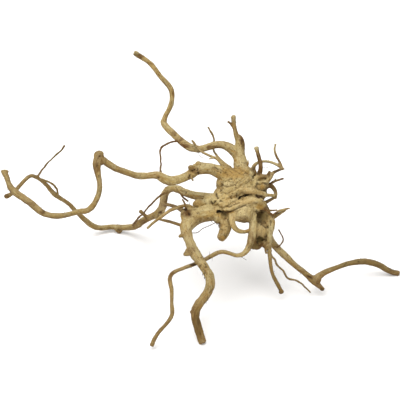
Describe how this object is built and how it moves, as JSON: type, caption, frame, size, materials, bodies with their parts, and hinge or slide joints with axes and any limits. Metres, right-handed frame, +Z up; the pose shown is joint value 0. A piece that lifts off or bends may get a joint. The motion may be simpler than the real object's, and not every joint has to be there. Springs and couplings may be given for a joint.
{
  "type": "spiderwood root",
  "caption": "Dried spiderwood root standing on its root tips: a gnarled, hollowed burl with long winding roots, cut stubs, wiry twigs and splinters.",
  "frame": {"origin": "middle of the bounding box at floor level", "axes": "+X to the right along the longest reach of the roots, -Y to the side that shows the burl and the thick front leg, +Z up"},
  "size_m": [0.4093, 0.228, 0.2089],
  "materials": {
    "driftwood": "dry, matt, fibrous grain"
  },
  "bodies": {
    "root": {"spiderwood_root": "driftwood"}
  },
  "joints": []
}
